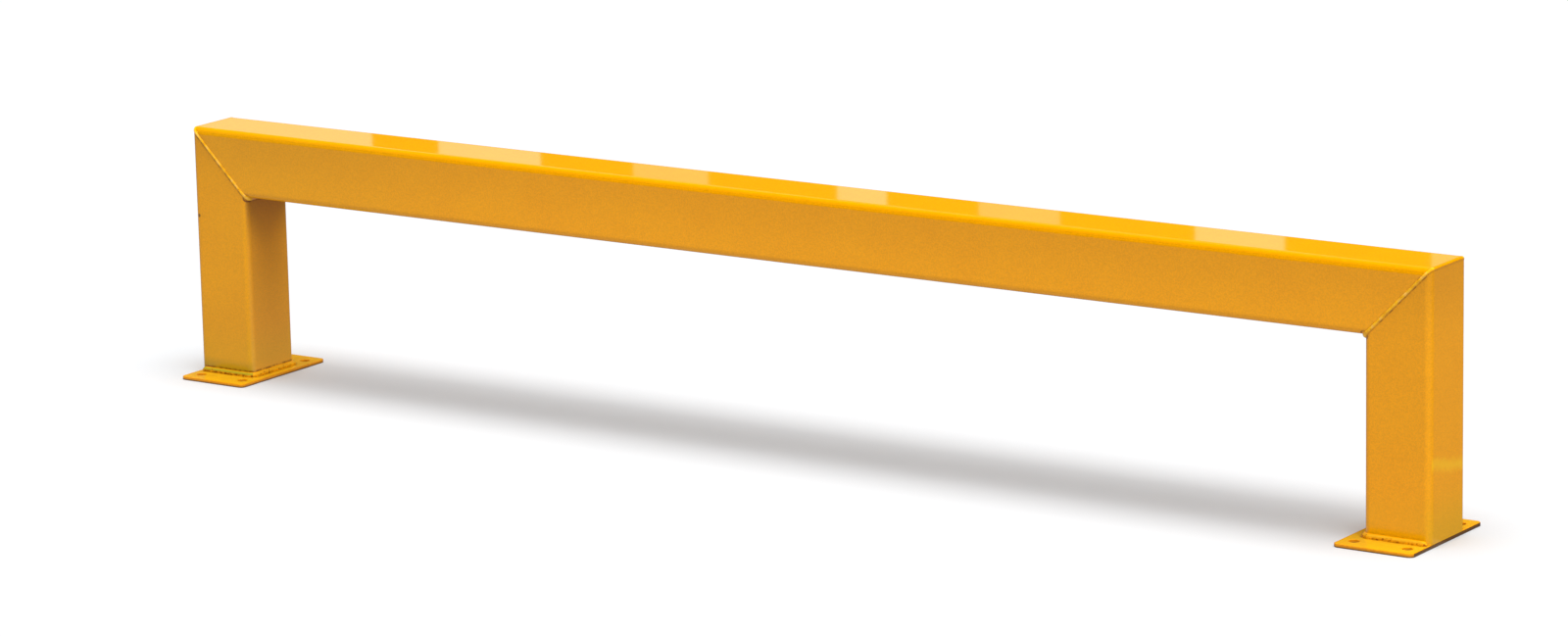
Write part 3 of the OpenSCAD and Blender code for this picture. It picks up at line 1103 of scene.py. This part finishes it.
for side, seed, front_coat, front_lump in (
        ("left", 3.0, olive_weld, 0.4 * MM), ("right", 4.0, pitted_weld, 1.6 * MM)):
    front = make_bead(
        "bead_foot_front", front_foot_row, 3, front_coat,
        spacing=FOOT_RIPPLES, height=0.2 * MM, lump=front_lump, seed=seed)
    inside = make_bead(
        "bead_foot_inner", inner_foot_row, 3, pitted_weld,
        spacing=FOOT_RIPPLES, lump=1.5 * MM, seed=seed)
    back = mirrored(front, "bead_foot_back", axis=1)
    place_beads(side, "foot", front=front, inner=inside, back=back)

# %% [markdown]
# The studio. The barrier stands on a sheet of pale paper, which is a little cool to cancel the
# yellow that the paint throws on it, and sends back less light than it shows. Four sun lamps
# with a wide angle stand in for soft boxes, because they light evenly from far off. The key hangs
# overhead, a little to the front, and lays a soft shadow under the rail. The fill comes from the
# front and partly from low down, like a white card on the floor. The side and back lamps light
# the sides. All but the key are linked to the barrier, so they leave the paper and its shadow
# alone. The world adds a little light and looks plain white to the camera.
#
# Glossy paint mirrors what stands round it, and at a low angle it mirrors it strongly. So, as a
# studio photographer would, black flags are set up round and over the barrier, with a grey mat
# on the floor. They keep the yellow deep. Bright gaps between the back flags, over a metre up so
# that only the rail's top mirrors them, leave the pale patches there. Only reflections see any of
# these sheets.

# %% Floor
barrier = bpy.data.collections.new("barrier_pieces")
for piece in bpy.context.scene.objects:
    barrier.objects.link(piece)

FLOOR_HALF = 60.0
FLOOR_PALE = 0.7
FLOOR_COOL = 0.016
FLOOR_BOUNCE = 0.31
FLOOR_GLOW = 0.03
WHITE = (1, 1, 1, 1)


def use_surface(tree, shader):
    """Puts another shader in the place of the one that a new material has."""
    tree.nodes.remove(tree.nodes["Principled BSDF"])
    tree.links.new(shader, tree.nodes["Material Output"].inputs["Surface"])


def glowing(tree, strength):
    return add_node(tree, "ShaderNodeEmission", {"Color": WHITE, "Strength": strength}).outputs[0]


def floor_material():
    """Paper that the camera sees pale, and that sends back less light than that."""
    material, tree = new_material("floor_paper")
    pale = (FLOOR_PALE - FLOOR_COOL, FLOOR_PALE, FLOOR_PALE + FLOOR_COOL, 1)
    dull = (FLOOR_BOUNCE, FLOOR_BOUNCE, FLOOR_BOUNCE, 1)
    paper, bounce = [
        add_node(tree, "ShaderNodeBsdfDiffuse", {"Color": colour}).outputs[0] for colour in (pale, dull)]
    seen = add_node(tree, "ShaderNodeAddShader", {0: paper, 1: glowing(tree, FLOOR_GLOW)}).outputs[0]
    path = add_node(tree, "ShaderNodeLightPath").outputs
    mix = add_node(tree, "ShaderNodeMixShader", {0: path["Is Camera Ray"], 1: bounce, 2: seen}).outputs[0]
    use_surface(tree, mix)
    return material


floor_corners = [(x * FLOOR_HALF, y * FLOOR_HALF, 0) for x, y in ((-1, -1), (1, -1), (1, 1), (-1, 1))]
floor = new_object("floor", floor_corners, [(0, 1, 2, 3)], floor_material())

# %% Flags and panes
FLAG_X = 6.0
FLAG_Y = 3.0
FLAG_TOP = 8.0
FLAG_GLOW = 0.02
MAT_LIFT = 0.0005
MAT_GLOW_FRONT = 0.47
MAT_GLOW_BACK = 0.22
PANE_LOW = 1.02
PANE_HIGH = 7.6
PANE_GAP = 0.02
# Each bright gap as its left side, its right side and its brightness.
PANES = (
    (-3.85, -3.11, 0.53), (-2.93, -2.66, 0.51), (-2.42, -2.23, 0.29), (-1.91, -1.79, 0.46),
    (-1.57, -1.38, 0.29), (-1.07, -0.87, 0.46), (-0.55, -0.49, 0.34))


def glow_material(name, strength):
    material, tree = new_material(name)
    use_surface(tree, glowing(tree, strength))
    return material


def reflected_sheets(name, corner_sets, material):
    """Four-cornered sheets that only reflections see."""
    points = [corner for corners in corner_sets for corner in corners]
    faces = [tuple(range(4 * i, 4 * i + 4)) for i in range(len(corner_sets))]
    sheet = new_object(name, points, faces, material)
    for ray in ("camera", "diffuse", "shadow", "transmission"):
        setattr(sheet, "visible_" + ray, False)


def upright(a, b, low, high):
    return [(*a, low), (*b, low), (*b, high), (*a, high)]


room = [(-FLAG_X, -FLAG_Y), (FLAG_X, -FLAG_Y), (FLAG_X, FLAG_Y), (-FLAG_X, FLAG_Y)]
flags = [upright(a, b, 0, FLAG_TOP) for a, b in zip(room, room[1:] + room[:1])]
flags.append([(x, y, FLAG_TOP) for x, y in room])
reflected_sheets("black_flags", flags, glow_material("flag_cloth", FLAG_GLOW))
for name, far_y, glow in (("front", -FLAG_Y, MAT_GLOW_FRONT), ("back", FLAG_Y, MAT_GLOW_BACK)):
    half = [(x, y, MAT_LIFT) for x, y in ((-FLAG_X, 0), (FLAG_X, 0), (FLAG_X, far_y), (-FLAG_X, far_y))]
    reflected_sheets("grey_mat_" + name, [half], glow_material("mat_grey_" + name, glow))
pane_y = FLAG_Y - PANE_GAP
for number, (left, right, glow) in enumerate(PANES, 1):
    pane = upright((left, pane_y), (right, pane_y), PANE_LOW, PANE_HIGH)
    reflected_sheets("bright_gap_%d" % number, [pane], glow_material("gap_light_%d" % number, glow))
print("flags:", len(flags), "bright gaps:", len(PANES))

# %% World and lamps
WORLD_FILL = 0.1

world = bpy.data.worlds.new("studio")
bpy.context.scene.world = world
world.use_nodes = True
tree = world.node_tree
path = add_node(tree, "ShaderNodeLightPath").outputs
mirrored_ray = either(tree, path["Is Glossy Ray"], path["Is Transmission Ray"])
seen = either(tree, path["Is Camera Ray"], mirrored_ray)
strength = fade(tree, seen, 0.0, 1.0, WORLD_FILL, curve="LINEAR")
tree.links.new(strength, tree.nodes["Background"].inputs["Strength"])
tree.nodes["Background"].inputs["Color"].default_value = WHITE


def wide_light(name, strength, width, elevation, lean=0, side=0, lights_floor=False):
    """A soft light from far off that neither the camera nor the gloss sees. It lights the barrier
    alone, and only the barrier shades it, unless it lights the floor too. In degrees: how wide it
    looks, how high it stands, how far it leans right and how far round to the right it is."""
    light = put_in_scene(name, bpy.data.lights.new(name, "SUN"))
    if not lights_floor:
        light.light_linking.receiver_collection = barrier
        light.light_linking.blocker_collection = barrier
    light.data.energy = strength
    light.data.angle = math.radians(width)
    light.rotation_euler = [math.radians(turn) for turn in (90 - elevation, lean, side)]
    light.visible_glossy = False
    light.visible_camera = False
    print(name, "of strength", strength, "looks", width, "degrees wide")


wide_light("key_light", strength=4.2, width=44, elevation=87, lean=4, lights_floor=True)
wide_light("fill_light", strength=1.33, width=80, elevation=8, side=13)
wide_light("side_light", strength=1.66, width=50, elevation=43, side=90)
wide_light("back_light", strength=1.2, width=60, elevation=12, side=180 + 35)

# %% [markdown]
# The camera. It was found by fitting a lens, a distance and three turns to the straight edges in
# the photograph, with the barrier's sizes free as well. It looks down a little from the front
# right, from far off, and leans slightly. Its axes are worked out from the three turns, and it
# stands back from the aim point along its own viewing axis.

# %% Camera
LENS = 133.512
SENSOR_WIDTH = 36
CLIP_END = 100
AZIMUTH = math.radians(34.3593)
ELEVATION = math.radians(12.67)
ROLL = math.radians(-1.2)
AIM = Vector((-0.030014, 0.028792, 0.181076))
DISTANCE = 8.304271

level_right = Vector((math.cos(AZIMUTH), math.sin(AZIMUTH), 0))
level_back = Vector((math.sin(AZIMUTH), -math.cos(AZIMUTH), 0))
backward = math.cos(ELEVATION) * level_back + Vector((0, 0, math.sin(ELEVATION)))
level_up = backward.cross(level_right)
rightward = math.cos(ROLL) * level_right + math.sin(ROLL) * level_up
upward = -math.sin(ROLL) * level_right + math.cos(ROLL) * level_up
turned = Matrix((rightward, upward, backward)).transposed().to_4x4()

camera = put_in_scene("camera", bpy.data.cameras.new("camera"))
camera.data.lens = LENS
camera.data.sensor_width = SENSOR_WIDTH
camera.data.clip_end = CLIP_END
camera.matrix_world = Matrix.Translation(AIM + DISTANCE * backward) @ turned
bpy.context.scene.camera = camera
bpy.context.scene.view_settings.view_transform = "Standard"
print("camera at", [round(c, 3) for c in camera.matrix_world.translation])
